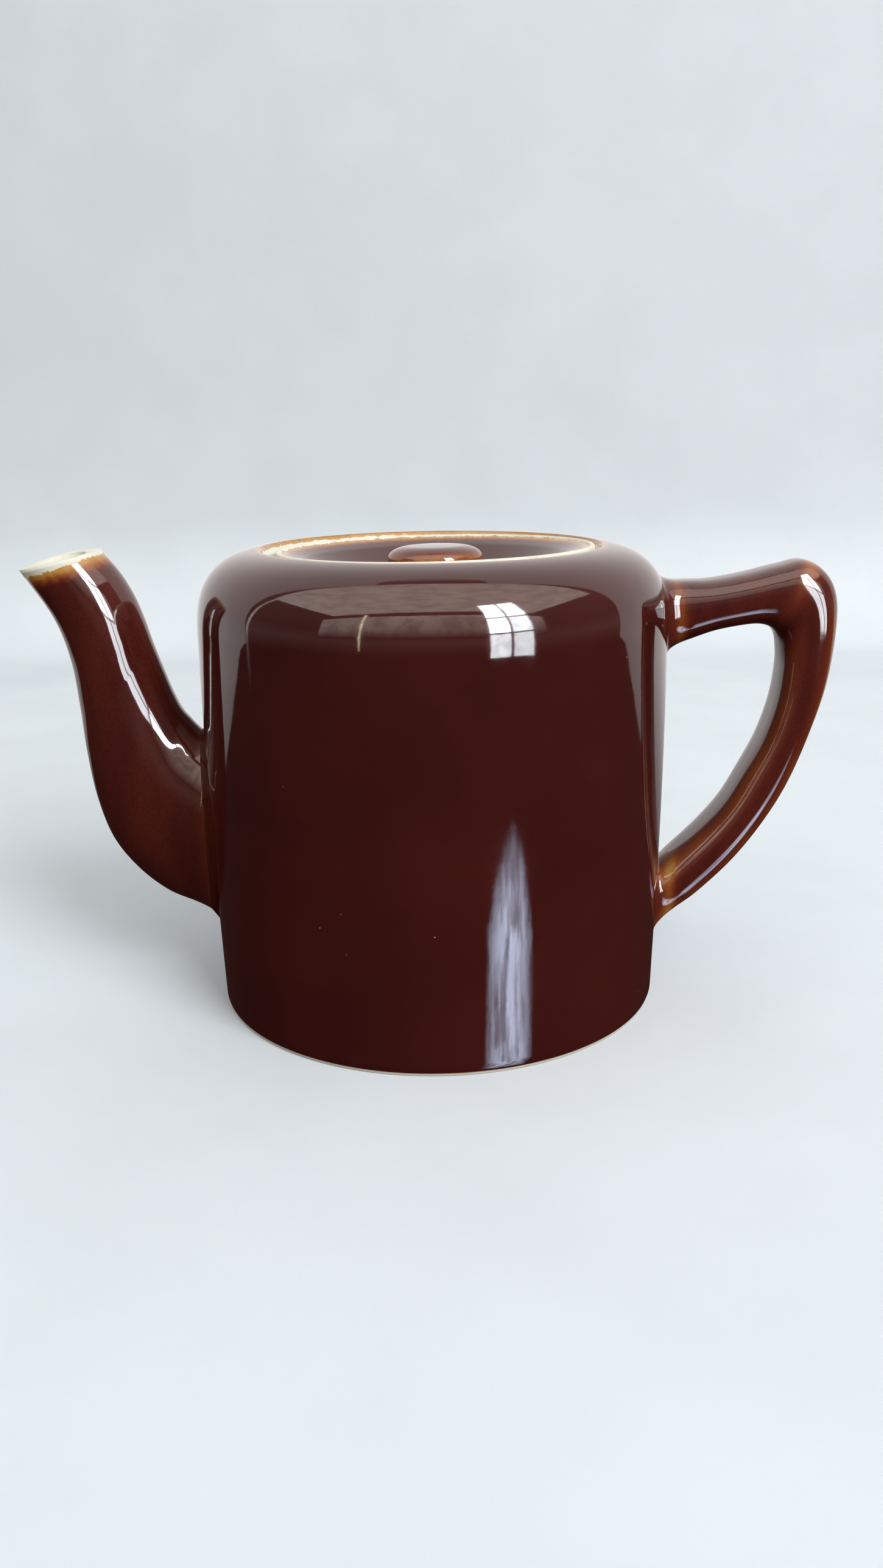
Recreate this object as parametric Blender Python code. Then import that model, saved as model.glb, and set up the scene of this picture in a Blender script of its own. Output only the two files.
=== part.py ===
"""A glazed stoneware teapot with a sunken lid and a lift-out steel infuser basket.

Sizes are in millimetres and become metres where a mesh is made. +Z is up, the pot stands on z = 0,
the handle points to +X and the spout to -X. The origin is under the middle of the whole outline.
"""
import math

import bmesh
import bpy
from mathutils import Vector

MM = 0.001
GAP = 0.3  # air between pieces that touch

# Pot
AXIS_X = 0.6  # the spout reaches further from the pot's axis than the handle does
BODY_R = 64.0
FOOT_R = 62.1
WIDEST_Z = 88.0
SHOULDER_Z = 105.0
SHOULDER_CREST_R = 42.5
SHOULDER_RISE = 21.66
SHOULDER_POWER = 2.61
LIP_R = 46.5
LIP_Z = 126.5
WALL = 5.0
FLOOR_Z = 7.0
FLOOR_CORNER_R = 12.0
FOOT_RING_IN_R = 53.0
FOOT_RECESS = 2.5
FOOT_RECESS_SLOPE = 3.0
FOOT_EDGE = [(0.7, 0.0), (0.15, 0.5)]  # (inwards from FOOT_R, height) where the foot's edge is rounded
WALL_HEIGHTS = (6.0, 30.0, 58.0, WIDEST_Z, SHOULDER_Z)
SHOULDER_ROWS = 9
SHOULDER_SPACING = 0.8
INSIDE_TAPER = [(0.0, 75.0), (0.5, 45.0)]  # (inwards from the wall's inner face, height)
FLOOR_CORNER_IN = 1.5

# Mouth: a bare cone, then a straight bore down to the ledge that holds the infuser
LIP_EDGE = [(1.0, -0.06), (0.0, 0.0), (-0.6, -0.4)]  # (outwards from LIP_R, up from LIP_Z)
CONE_BOTTOM_Z = 124.0
BORE_R = 44.6
LEDGE_Z = 118.4
NECK_R = 41.2
NECK_BOTTOM_Z = 114.0
NECK_ROUND = 2.0
INSIDE_SHOULDER_DROP = 3.0
INSIDE_SHOULDER_RISE = 12.5

# Strainer holes behind the spout
STRAINER_R = 2.6
STRAINER_PITCH = 8.4
STRAINER_Z = 47.0

# Spout: its outer (lower) and inner (upper) outlines in the plane y = 0, from root to tip
SPOUT_OUTER = [(-70.0, 25.1), (-78.0, 28.9), (-86.0, 35.8), (-92.4, 45.0), (-96.1, 57.0), (-97.9, 70.5),
               (-98.7, 84.0), (-100.1, 97.2), (-103.8, 109.0), (-111.7, 121.8)]
SPOUT_INNER = [(-68.4, 79.5), (-70.8, 82.6), (-72.8, 87.2), (-74.4, 91.8), (-76.0, 96.6), (-77.6, 101.6),
               (-79.3, 107.6), (-81.6, 114.0), (-85.0, 120.3), (-89.9, 126.6)]
SPOUT_ROOT_HALF_WIDTH = 12.6
SPOUT_TIP_HALF_WIDTH = 11.2
SPOUT_EASE = 0.55  # the part of its length over which it narrows
SPOUT_WALL = 4.2
SPOUT_FILLET = 3.0
SPOUT_LIP_RISE = 1.3
SPOUT_LIP_ROUND = 1.2
SPOUT_STATIONS = 15
SPOUT_TIP_START = 0.97

# Handle: its outer and inner outlines in the plane y = 0, from the upper root to the lower one
HANDLE_OUTER = [(68.5, 116.2), (76.5, 116.4), (85.5, 117.9), (94.5, 120.0), (101.6, 121.2), (107.2, 117.6),
                (110.1, 111.4), (110.4, 101.5), (108.7, 87.5), (104.6, 73.0), (99.3, 59.0), (92.8, 47.4),
                (84.7, 36.5), (75.2, 27.0), (69.0, 22.2)]
HANDLE_INNER = [(69.5, 99.8), (76.5, 102.2), (83.0, 103.5), (88.6, 104.0), (92.4, 103.1), (94.6, 100.9),
                (95.5, 97.6), (95.8, 91.6), (94.6, 82.0), (91.4, 71.6), (86.8, 62.4), (82.0, 53.8),
                (75.6, 46.0), (67.9, 38.4), (66.9, 37.3)]
HANDLE_HALF_WIDTH = 10.0
HANDLE_SQUARENESS = 2.9
HANDLE_FILLET = 3.2
HANDLE_STATIONS = 27

# Lid: a sunken dish with a button knob, lying a little off centre and askew in its seat
LID_X = 0.95
LID_Z = 126.1
LID_TILT_X = math.radians(-0.52)
LID_TILT_Y = math.radians(-0.59)
LID_R = 43.2
LID_RIM_IN_R = 41.5
LID_STEP_Z = -4.9
LID_PLUG_R = 36.9
LID_FLOOR_Z = -8.5
LID_BASE_Z = -12.6
LID_RIM_CROWN = 0.15
LID_EDGE_ROUND = 0.5
LID_PLUG_ROUND = (6.0, 5.5)
LID_BOWL = [(27.0, -8.25), (30.5, -7.0), (33.5, -4.6), (36.5, -2.2), (39.5, -0.9)]
VENT_R = 1.6
VENT_X = 19.0
KNOB_R = 12.95
KNOB_TOP_Z = 0.35
KNOB_EQUATOR_Z = -2.9
KNOB_UNDER_Z = -5.6
KNOB_TOP_ROUND = 6.0
KNOB_UNDER_ROUND = 2.6
KNOB_CROWN = 0.15
KNOB_STEM_R = 6.5
KNOB_STEM_FLARE = 0.8

# Infuser basket of stainless sheet
SHEET = 0.8
SHEET_BEND = 0.4
BASKET_R = 39.4
BASKET_TOP_Z = 119.4
BASKET_BASE_Z = 46.0
RIM_R = 44.0
RIM_BEAD_R = 0.75
COLLAR_BOTTOM_Z = 112.5
FLOOR_HOLE_R = 1.7
FLOOR_HOLE_PITCH = 12.5
FLOOR_HOLE_RINGS = ((1, 6), (2, 12))
FLOOR_HOLE_OFFSET = (0.4, 0.3)  # beside the disc's own centre point, which a cut can't pass through
FLOOR_BEND = 0.6
UPTURN = 2.0
LOOP_WIRE_R = 1.0
LOOP_TOP_Z = 111.2
LOOP_DROP = 9.0
LOOP_HALF_WIDTH = 9.0
LOOP_REACH = 7.5
LOOP_STATIONS = 12

BODY_STEPS = 44
LID_STEPS = 40
KNOB_STEPS = 28
SPOUT_SIDES = 24
HANDLE_SIDES = 20

BROWN_GLAZE = ("brown glaze", (0.045, 0.008, 0.006), 0.06, 0.0)
STEEL = ("stainless steel", (0.62, 0.61, 0.59), 0.28, 1.0)


def clear_scene():
    for obj in list(bpy.data.objects):
        bpy.data.objects.remove(obj, do_unlink=True)


def material(name, finish):
    """A Principled material of its own for one sub-part."""
    label, colour, roughness, metallic = finish
    made = bpy.data.materials.new(f"{name} {label}")
    made.use_nodes = True
    shader = made.node_tree.nodes["Principled BSDF"]
    shader.inputs["Base Color"].default_value = (*colour, 1.0)
    shader.inputs["Roughness"].default_value = roughness
    shader.inputs["Metallic"].default_value = metallic
    return made


def empty(name, location, rotation=(0.0, 0.0, 0.0), parent=None):
    made = bpy.data.objects.new(name, None)
    made.empty_display_size = 10 * MM
    made.location = Vector(location) * MM
    made.rotation_euler = rotation
    made.parent = parent
    bpy.context.scene.collection.objects.link(made)
    return made


def mesh_object(name, points, edges, faces, finish, parent):
    """A mesh object made from points in millimetres."""
    mesh = bpy.data.meshes.new(name)
    mesh.from_pydata([Vector(point) * MM for point in points], edges, faces)
    mesh.update()
    made = bpy.data.objects.new(name, mesh)
    made.parent = parent
    mesh.materials.append(material(name, finish))
    bpy.context.scene.collection.objects.link(made)
    return made


def helper(obj):
    """Marks a cutter, which is no part of the object."""
    obj.hide_render = True
    obj.display_type = "WIRE"
    return obj


def turned(name, profile, steps, finish, parent, closed=True):
    """Turns a profile of (radius, height) about Z. It runs down the outer side and back up the inner one."""
    count = len(profile)
    points = [(radius, 0.0, height) for radius, height in profile]
    edges = [(i, i + 1) for i in range(count - 1)]
    if closed:
        edges.append((count - 1, 0))
    made = mesh_object(name, points, edges, [], finish, parent)
    screw = made.modifiers.new("turn", "SCREW")
    screw.axis = "Z"
    screw.angle = math.tau
    screw.steps = steps
    screw.render_steps = steps
    screw.use_merge_vertices = True
    screw.merge_threshold = 0.0000005
    screw.use_smooth_shade = True
    return made


def cut(obj, cutter):
    boolean = obj.modifiers.new("cut", "BOOLEAN")
    boolean.operation = "DIFFERENCE"
    boolean.solver = "EXACT"
    boolean.object = helper(cutter)


def rods(name, places, radius, length, sides, parent):
    """Round bars for cutting holes: each place is (centre, direction)."""
    bm = bmesh.new()
    for centre, direction in places:
        turn = Vector(direction).to_track_quat("Z", "Y").to_matrix().to_4x4()
        turn.translation = Vector(centre) * MM
        bmesh.ops.create_cone(
            bm, cap_ends=True, segments=sides, radius1=radius * MM, radius2=radius * MM,
            depth=length * MM, matrix=turn)
    mesh = bpy.data.meshes.new(name)
    bm.to_mesh(mesh)
    bm.free()
    made = bpy.data.objects.new(name, mesh)
    made.parent = parent
    bpy.context.scene.collection.objects.link(made)
    return made


def arc(centre, radius_r, radius_z, start, stop, count):
    """Points on an ellipse's arc in the (radius, height) plane, angles in degrees from +radius."""
    angles = [math.radians(start + (stop - start) * i / (count - 1)) for i in range(count)]
    return [(centre[0] + radius_r * math.cos(a), centre[1] + radius_z * math.sin(a)) for a in angles]


def spline(points, t):
    """A Catmull-Rom curve through the points, t from 0 to 1."""
    place = min(max(t, 0.0), 1.0) * (len(points) - 1)
    k = min(int(place), len(points) - 2)
    u = place - k
    p1 = Vector(points[k])
    p2 = Vector(points[k + 1])
    p0 = Vector(points[k - 1]) if k > 0 else 2 * p1 - p2
    p3 = Vector(points[k + 2]) if k + 2 < len(points) else 2 * p2 - p1
    return 0.5 * (2 * p1 + (p2 - p0) * u + (2 * p0 - 5 * p1 + 4 * p2 - p3) * u * u
                  + (3 * p1 - p0 - 3 * p2 + p3) * u ** 3)


def body_radius(z):
    """The pot's outer radius at a height: a wall that draws in to the foot, then a squared-off shoulder."""
    if z <= SHOULDER_Z:
        fall = max(0.0, WIDEST_Z - z) / WIDEST_Z
        return BODY_R - (BODY_R - FOOT_R) * fall * fall
    rise = min(1.0, (z - SHOULDER_Z) / SHOULDER_RISE)
    reach = (1.0 - rise ** SHOULDER_POWER) ** (1.0 / SHOULDER_POWER)
    return SHOULDER_CREST_R + (BODY_R - SHOULDER_CREST_R) * reach


def onto_body(point, gap):
    """The point moved level, straight towards or away from the axis, until it is the gap off the body."""
    level = math.hypot(point.x, point.y)
    scale = (body_radius(point.z) + gap) / level
    return Vector((point.x * scale, point.y * scale, point.z))


def hit_body(start, direction, gap):
    """Where a ray from outside meets the body's surface, the gap off it."""
    near, far = 0.0, 40.0
    for _ in range(40):
        middle = (near + far) / 2
        point = start + direction * middle
        if math.hypot(point.x, point.y) > body_radius(point.z) + gap:
            near = middle
        else:
            far = middle
    return start + direction * near


def section(top, bottom, half_width, sides, power, inset=0.0):
    """A ring across the plane y = 0, an oval or a rounded oblong, from one outline point to the other."""
    middle = (top + bottom) / 2
    across = (top - bottom) / 2
    across *= (across.length - inset) / across.length
    ring = []
    for i in range(sides):
        angle = math.tau * i / sides
        c, s = math.cos(angle), math.sin(angle)
        stretch = (abs(c) ** power + abs(s) ** power) ** (-1.0 / power)
        flat = middle + across * (c * stretch)
        ring.append(Vector((flat.x, (half_width - inset) * s * stretch, flat.y)))
    return ring


def landing(ring, before, fillet, rows, gap):
    """Rings that carry on from a ring towards the body and flare out along its surface."""
    hits = []
    for point, back in zip(ring, before):
        direction = (point - back).normalized()
        hits.append(hit_body(point, direction, gap))
    centre = sum(hits, Vector()) / len(hits)
    made = []
    for row in range(1, rows + 1):
        s = row / rows
        new = []
        for start, hit in zip(ring, hits):
            out = (hit - centre).normalized()
            rim = onto_body(hit + out * fillet, gap)
            bend = (1 - s) ** 2 * start + 2 * s * (1 - s) * hit + s * s * rim
            new.append(bend)
        made.append(new)
    return made


def skin(name, rings, finish, parent, loop, poles=()):
    """Joins equal rings into a closed surface: a loop of rings, or a chain capped by a pole at each end."""
    sides = len(rings[0])
    points = [point for ring in rings for point in ring] + list(poles)
    faces = []
    pairs = len(rings) if loop else len(rings) - 1
    for r in range(pairs):
        low, high = r * sides, ((r + 1) % len(rings)) * sides
        for i in range(sides):
            j = (i + 1) % sides
            faces.append((low + i, low + j, high + j, high + i))
    if poles:
        first, last = len(points) - 2, len(points) - 1
        end = (len(rings) - 1) * sides
        for i in range(sides):
            j = (i + 1) % sides
            faces.append((first, j, i))
            faces.append((last, end + i, end + j))
    made = mesh_object(name, points, [], faces, finish, parent)
    bm = bmesh.new()
    bm.from_mesh(made.data)
    bmesh.ops.recalc_face_normals(bm, faces=bm.faces)
    bm.to_mesh(made.data)
    bm.free()
    made.data.shade_smooth()
    return made


def pot_body(parent):
    inner_r = BODY_R - WALL
    shoulder = []
    for i in range(1, SHOULDER_ROWS):
        angle = math.radians(90 * i / SHOULDER_ROWS)
        z = SHOULDER_Z + (LIP_Z - SHOULDER_Z) * math.sin(angle) ** SHOULDER_SPACING
        shoulder.append((body_radius(z), z))
    lip = [(LIP_R + out, LIP_Z + up) for out, up in LIP_EDGE]
    mouth = [(BORE_R, CONE_BOTTOM_Z), (BORE_R, LEDGE_Z), (NECK_R, LEDGE_Z), (NECK_R, NECK_BOTTOM_Z)]
    inside_shoulder = arc((NECK_R + NECK_ROUND, SHOULDER_Z - INSIDE_SHOULDER_DROP), inner_r - NECK_R - NECK_ROUND,
                          INSIDE_SHOULDER_RISE, 86, 0, 6)
    corner = (inner_r - FLOOR_CORNER_IN - FLOOR_CORNER_R, FLOOR_Z + FLOOR_CORNER_R)
    inside_floor = arc(corner, FLOOR_CORNER_R, FLOOR_CORNER_R, 0, -90, 5)
    inside_wall = [(inner_r - taper, height) for taper, height in INSIDE_TAPER]
    inside = inside_shoulder + inside_wall + inside_floor + [(0.0, FLOOR_Z)]
    under = [(0.0, FOOT_RECESS), (FOOT_RING_IN_R - FOOT_RECESS_SLOPE, FOOT_RECESS), (FOOT_RING_IN_R, 0.0)]
    foot = [(FOOT_R - inwards, height) for inwards, height in FOOT_EDGE]
    wall = [(body_radius(z), z) for z in WALL_HEIGHTS]
    outside = list(reversed(foot + wall + shoulder + lip))
    profile = outside + list(reversed(under)) + list(reversed(inside)) + list(reversed(mouth))
    made = turned("pot_body", profile, BODY_STEPS, BROWN_GLAZE, parent)
    holes = [((-inner_r, 0.0, STRAINER_Z), (1, 0, 0))]
    for i in range(6):
        angle = math.radians(30 + 60 * i)
        y = STRAINER_PITCH * math.cos(angle)
        z = STRAINER_Z + STRAINER_PITCH * math.sin(angle)
        holes.append(((-inner_r, y, z), (1, 0, 0)))
    cut(made, rods("strainer_cutter", holes, STRAINER_R, 4 * WALL, 10, parent))
    return made


def spout_half_width(t):
    ease = min(1.0, t / SPOUT_EASE)
    return SPOUT_ROOT_HALF_WIDTH + (SPOUT_TIP_HALF_WIDTH - SPOUT_ROOT_HALF_WIDTH) * ease


def spout_ring(t, inset):
    return section(spline(SPOUT_INNER, t), spline(SPOUT_OUTER, t), spout_half_width(t), SPOUT_SIDES, 2.0, inset)


def spout(parent):
    """The outside runs from tip to root, the inside back from root to tip, with a rounded lip."""
    rises = spline(SPOUT_INNER, 1.0) - spline(SPOUT_INNER, SPOUT_TIP_START)
    up = Vector((rises.x, 0.0, rises.y)).normalized() * SPOUT_LIP_RISE
    last = SPOUT_STATIONS - 1
    outside = [spout_ring(1.0 - i / last, 0.0) for i in range(SPOUT_STATIONS)]
    inside = [spout_ring(i / last, SPOUT_WALL) for i in range(SPOUT_STATIONS)]
    flare = landing(outside[-1], outside[-2], SPOUT_FILLET, 4, GAP)
    channel_end = []
    for point, back in zip(inside[0], inside[1]):
        channel_end.append(hit_body(point, (point - back).normalized(), GAP))
    seat = []
    for s in (0.33, 0.67):
        between = [a.lerp(b, s) for a, b in zip(flare[-1], channel_end)]
        seat.append([onto_body(point, GAP) for point in between])
    insets = (SPOUT_WALL - SPOUT_LIP_ROUND, SPOUT_LIP_ROUND)
    lip = [[point + up for point in spout_ring(1.0, inset)] for inset in insets]
    rings = outside + flare + seat + [channel_end] + inside + lip
    return skin("spout", rings, BROWN_GLAZE, parent, loop=True)


def handle_ring(t):
    return section(spline(HANDLE_OUTER, t), spline(HANDLE_INNER, t), HANDLE_HALF_WIDTH, HANDLE_SIDES,
                   HANDLE_SQUARENESS)


def end_cap(ring, gap):
    """Rings that close an end against the body, and the pole in their middle."""
    centre = sum(ring, Vector()) / len(ring)
    rings = []
    for s in (0.35, 0.7):
        rings.append([onto_body(point.lerp(centre, s), gap) for point in ring])
    return rings, onto_body(centre, gap)


def handle(parent):
    arm = [handle_ring(i / (HANDLE_STATIONS - 1)) for i in range(HANDLE_STATIONS)]
    upper = landing(arm[0], arm[1], HANDLE_FILLET, 3, GAP)
    lower = landing(arm[-1], arm[-2], HANDLE_FILLET, 3, GAP)
    upper_cap, upper_pole = end_cap(upper[-1], GAP)
    lower_cap, lower_pole = end_cap(lower[-1], GAP)
    rings = list(reversed(upper + upper_cap)) + arm + lower + lower_cap
    return skin("handle", rings, BROWN_GLAZE, parent, loop=False, poles=(upper_pole, lower_pole))


def lid_dish(parent):
    """Its origin is in the middle of the rim's plane."""
    rim = [(LID_RIM_IN_R, -LID_RIM_CROWN), (LID_RIM_IN_R + LID_EDGE_ROUND, 0.0),
           (LID_R - LID_EDGE_ROUND, 0.0), (LID_R, -LID_EDGE_ROUND)]
    step = [(LID_R, LID_STEP_Z + LID_EDGE_ROUND), (LID_R - LID_EDGE_ROUND, LID_STEP_Z), (LID_PLUG_R, LID_STEP_Z)]
    across, rise = LID_PLUG_ROUND
    plug = arc((LID_PLUG_R - across, LID_BASE_Z + rise), across, rise, 0, -90, 4)
    profile = rim + step + plug + [(0.0, LID_BASE_Z), (0.0, LID_FLOOR_Z)] + LID_BOWL
    made = turned("lid_dish", profile, LID_STEPS, BROWN_GLAZE, parent)
    vent = [((VENT_X, 0.0, (LID_FLOOR_Z + LID_BASE_Z) / 2), (0, 0, 1))]
    cut(made, rods("vent_cutter", vent, VENT_R, 3 * (LID_FLOOR_Z - LID_BASE_Z), 10, parent))
    return made


def lid_knob(parent):
    """A button on a short stem, luted to the dish's floor."""
    foot_z = LID_FLOOR_Z + GAP
    top = arc((KNOB_R - KNOB_TOP_ROUND, KNOB_EQUATOR_Z), KNOB_TOP_ROUND, KNOB_TOP_Z - KNOB_EQUATOR_Z, 84, 0, 5)
    under = arc((KNOB_R - KNOB_UNDER_ROUND, KNOB_EQUATOR_Z), KNOB_UNDER_ROUND, KNOB_EQUATOR_Z - KNOB_UNDER_Z,
                -30, -90, 3)
    flared_r = KNOB_STEM_R + KNOB_STEM_FLARE
    stem = [(flared_r, KNOB_UNDER_Z - KNOB_STEM_FLARE), (KNOB_STEM_R, foot_z + KNOB_STEM_FLARE), (flared_r, foot_z)]
    profile = [(0.0, KNOB_TOP_Z + KNOB_CROWN)] + top + under + stem + [(0.0, foot_z)]
    return turned("lid_knob", profile, KNOB_STEPS, BROWN_GLAZE, parent, closed=False)


def infuser_rim(parent):
    """A flange that rests on the ledge, rolled over at its edge, with a collar round the basket."""
    low = LEDGE_Z + GAP
    bead = arc((RIM_R - RIM_BEAD_R, low + RIM_BEAD_R), RIM_BEAD_R, RIM_BEAD_R, 110, -90, 6)
    collar_in = BASKET_R + GAP
    collar_out = collar_in + SHEET
    profile = bead + [(collar_out + SHEET_BEND, low), (collar_out, low - SHEET_BEND), (collar_out, COLLAR_BOTTOM_Z)]
    profile += [(collar_in, COLLAR_BOTTOM_Z), (collar_in, low + SHEET)]
    return turned("infuser_rim", profile, LID_STEPS, STEEL, parent)


def infuser_wall(parent):
    """The rolled sheet, plain: its fine perforation, under 2 mm across, is a surface finish here."""
    profile = [(BASKET_R, BASKET_TOP_Z), (BASKET_R, BASKET_BASE_Z), (BASKET_R - SHEET, BASKET_BASE_Z),
               (BASKET_R - SHEET, BASKET_TOP_Z)]
    return turned("infuser_wall", profile, LID_STEPS, STEEL, parent)


def infuser_floor(parent):
    """A perforated disc with an upturned edge, inside the basket's wall."""
    out = BASKET_R - SHEET - GAP
    low = BASKET_BASE_Z
    inner = out - SHEET
    profile = [(out, low + UPTURN), (out, low + FLOOR_BEND), (out - FLOOR_BEND, low), (0.0, low)]
    profile += [(0.0, low + SHEET), (inner - SHEET_BEND, low + SHEET), (inner, low + SHEET + SHEET_BEND)]
    profile.append((inner, low + UPTURN))
    made = turned("infuser_floor", profile, LID_STEPS, STEEL, parent)
    holes = [((*FLOOR_HOLE_OFFSET, low), (0, 0, 1))]
    for ring, count in FLOOR_HOLE_RINGS:
        reach = ring * FLOOR_HOLE_PITCH
        for i in range(count):
            angle = math.tau * (i + 0.3) / count
            holes.append(((reach * math.cos(angle), reach * math.sin(angle), low), (0, 0, 1)))
    cut(made, rods("floor_hole_cutter", holes, FLOOR_HOLE_R, 8 * SHEET, 6, parent))
    return made


def infuser_loop(name, side, parent):
    """A bent wire finger loop just inside the basket's wall, under the lid's plug."""
    outer = BASKET_R - SHEET - GAP - LOOP_WIRE_R
    route = []
    for i in range(LOOP_STATIONS + 1):
        angle = math.pi * i / LOOP_STATIONS
        across = LOOP_HALF_WIDTH * math.cos(angle)
        hang = math.sin(angle)
        at_wall = math.sqrt(outer ** 2 - across ** 2)
        route.append((side * (at_wall - LOOP_REACH * hang), across, LOOP_TOP_Z - LOOP_DROP * (1 - hang) * 0.5))
    curve = bpy.data.curves.new(name, "CURVE")
    curve.dimensions = "3D"
    curve.bevel_depth = LOOP_WIRE_R * MM
    curve.bevel_resolution = 2
    curve.use_fill_caps = True
    run = curve.splines.new("POLY")
    run.points.add(len(route) - 1)
    for point, place in zip(run.points, route):
        point.co = (*(Vector(place) * MM), 1.0)
    curve.materials.append(material(name, STEEL))
    made = bpy.data.objects.new(name, curve)
    made.parent = parent
    bpy.context.scene.collection.objects.link(made)
    return made


def build():
    clear_scene()
    pot_axis = empty("pot_axis", (AXIS_X, 0.0, 0.0))
    pot_body(pot_axis)
    spout(pot_axis)
    handle(pot_axis)
    infuser_rim(pot_axis)
    infuser_wall(pot_axis)
    infuser_floor(pot_axis)
    infuser_loop("infuser_loop_left", -1, pot_axis)
    infuser_loop("infuser_loop_right", 1, pot_axis)
    lid_seat = empty("lid_seat", (LID_X, 0.0, LID_Z), (LID_TILT_X, LID_TILT_Y, 0.0), pot_axis)
    lid_dish(lid_seat)
    lid_knob(lid_seat)


build()
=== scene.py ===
"""The looks of a glazed stoneware teapot with a sunken lid and a lift-out steel infuser basket.

Lengths are in millimetres and become metres where a mesh is made. +Z is up, the handle points to +X and
the spout to -X. Each shell repeats the outline of the CAD node it stands for, in finer steps, with the
glaze's edges, fillets and perforations added.
"""

import math

import bmesh
import bpy
import numpy as np
from mathutils import Euler, Matrix, Vector, noise
from mathutils.geometry import delaunay_2d_cdt


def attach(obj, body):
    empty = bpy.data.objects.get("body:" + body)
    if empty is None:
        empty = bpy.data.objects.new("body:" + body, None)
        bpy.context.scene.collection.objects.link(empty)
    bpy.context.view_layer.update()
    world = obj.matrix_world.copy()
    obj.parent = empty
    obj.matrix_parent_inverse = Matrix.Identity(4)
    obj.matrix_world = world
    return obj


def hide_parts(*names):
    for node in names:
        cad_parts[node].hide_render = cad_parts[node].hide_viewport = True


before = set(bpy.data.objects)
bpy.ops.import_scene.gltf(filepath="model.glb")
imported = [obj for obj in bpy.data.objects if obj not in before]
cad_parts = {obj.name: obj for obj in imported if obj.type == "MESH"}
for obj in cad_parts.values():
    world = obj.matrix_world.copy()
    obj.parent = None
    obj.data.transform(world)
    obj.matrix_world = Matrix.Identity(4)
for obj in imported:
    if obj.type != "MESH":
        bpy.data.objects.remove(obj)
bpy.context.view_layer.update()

MM = 0.001
AXIS_X = 0.6  # the pot's axis, beside the middle of the whole outline

# Pot
BODY_R = 64.0
FOOT_R = 62.1
WIDEST_Z = 88.0
SHOULDER_Z = 105.0
SHOULDER_CREST_R = 42.5
SHOULDER_RISE = 21.66
SHOULDER_POWER = 2.61
LIP_R = 46.5
LIP_Z = 126.5
WALL = 5.0
FLOOR_Z = 7.0
FLOOR_CORNER_R = 12.0
FOOT_RING_IN_R = 53.0
FOOT_RECESS = 2.5
CONE_BOTTOM_Z = 124.0
BORE_R = 44.6
LEDGE_Z = 118.4
NECK_R = 41.2
NECK_BOTTOM_Z = 114.0
STRAINER_R = 2.6
STRAINER_PITCH = 8.4
STRAINER_Z = 47.0
FOOT_GLAZE_Z = 0.9  # the brown glaze stops this far above the table
LIP_GLAZE = 1.5  # and this far down the mouth's cone
FOOT_EDGE_SHARPNESS = 9.0  # the glaze was wiped off the foot, and so ends without an amber band
LIP_THIN = 0.74  # how thin the glaze runs on the lip's crest
LIP_THIN_REACH = 1.6
POT_SIDES = 256
WOBBLE = 0.14  # how far the hand-finished surfaces dip below the true shape
WOBBLE_LENGTH = 26.0
WOBBLE_FADE = 12.0  # how far from the lip and the foot it reaches its full depth
FAR = 20.0  # stands for any place well away from where the brown glaze stops

# Spout: its outer (lower) and inner (upper) outlines in the plane y = 0, from root to tip
SPOUT_OUTER = [(-70.0, 25.1), (-78.0, 28.9), (-86.0, 35.8), (-92.4, 45.0), (-96.1, 57.0), (-97.9, 70.5),
               (-98.7, 84.0), (-100.1, 97.2), (-103.8, 109.0), (-111.7, 121.8)]
SPOUT_INNER = [(-68.4, 79.5), (-70.8, 82.6), (-72.8, 87.2), (-74.4, 91.8), (-76.0, 96.6), (-77.6, 101.6),
               (-79.3, 107.6), (-81.6, 114.0), (-85.0, 120.3), (-89.9, 126.6)]
SPOUT_ROOT_HALF_WIDTH = 12.6
SPOUT_TIP_HALF_WIDTH = 11.2
SPOUT_EASE = 0.55  # how far along the spout it gets there
SPOUT_WALL = 4.2
SPOUT_SIDES = 96
SPOUT_STATIONS = 110
SPOUT_FILLET = 3.0
SPOUT_LIP_RISE = 1.3
SPOUT_LIP_NEAR = 0.15  # how much of the rise the near side of the lip has
SPOUT_BARE_OUTER = 2.4  # bare clay below the lip, on the pouring side
SPOUT_BARE_INNER = 1.1  # and on the side towards the pot
SPOUT_EDGE_SHARPNESS = 0.7  # the glaze thins out slowly there, in a broad amber band

# Handle: its outer and inner outlines in the plane y = 0, from the upper root to the lower one
HANDLE_OUTER = [(68.5, 116.2), (76.5, 116.4), (85.5, 117.9), (94.5, 120.0), (101.6, 121.2), (107.2, 117.6),
                (110.1, 111.4), (110.4, 101.5), (108.7, 87.5), (104.6, 73.0), (99.3, 59.0), (92.8, 47.4),
                (84.7, 36.5), (75.2, 27.0), (69.0, 22.2)]
HANDLE_INNER = [(69.5, 99.8), (76.5, 102.2), (83.0, 103.5), (88.6, 104.0), (92.4, 103.1), (94.6, 100.9),
                (95.5, 97.6), (95.8, 91.6), (94.6, 82.0), (91.4, 71.6), (86.8, 62.4), (82.0, 53.8),
                (75.6, 46.0), (67.9, 38.4), (66.9, 37.3)]
HANDLE_SIDES = 80
HANDLE_STATIONS = 200
HANDLE_HALF_WIDTH = 10.0
HANDLE_SQUARENESS = 2.9
HANDLE_INSET = 0.04  # keeps the finer outline inside the coarser solid's box
HANDLE_FILLET = 3.2
HANDLE_NECK = 1.3  # the groove between the handle's end and its fillet
HANDLE_NECK_LENGTH = 6.2
HANDLE_ELBOW = 0.295  # where the outer corner is, along the handle from 0 to 1
HANDLE_UPRIGHT = 0.36  # and where the upright arm begins
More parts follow.
